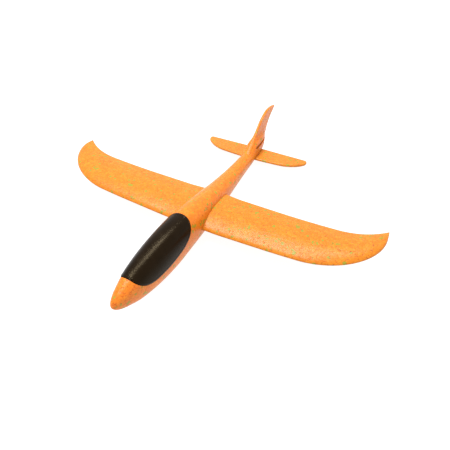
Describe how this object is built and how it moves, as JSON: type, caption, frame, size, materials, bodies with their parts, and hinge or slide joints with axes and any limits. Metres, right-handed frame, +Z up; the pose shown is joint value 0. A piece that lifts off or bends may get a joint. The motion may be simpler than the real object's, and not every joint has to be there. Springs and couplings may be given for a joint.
{
  "type": "toy glider",
  "caption": "Hand-launched foam toy glider: curved one-piece wing through a slim body with swept fin, dark canopy shell and push-in tailplane.",
  "frame": {"origin": "middle of the glider's box at the height of the flat of the belly, on its plane of symmetry", "axes": "nose along -Y, port wing along +X, +Z up"},
  "size_m": [0.49, 0.4718, 0.0776],
  "materials": {
    "body_foam": "satin",
    "canopy_shell": "satin",
    "steel": "satin",
    "wing_foam": "satin",
    "tailplane_foam": "satin"
  },
  "bodies": {
    "fuselage": {"body": "body_foam", "canopy": "canopy_shell", "nose_weight": "steel"},
    "wing": {"wing": "wing_foam"},
    "tailplane": {"tailplane": "tailplane_foam"}
  },
  "joints": [
    {"name": "wing_slide", "type": "slide", "parent": "fuselage", "child": "wing", "axis": [1, 0, 0], "range_m": [-0.02, 0.02]},
    {"name": "tailplane_slide", "type": "slide", "parent": "fuselage", "child": "tailplane", "axis": [0, 1, 0], "range_m": [0, 0.045]}
  ]
}
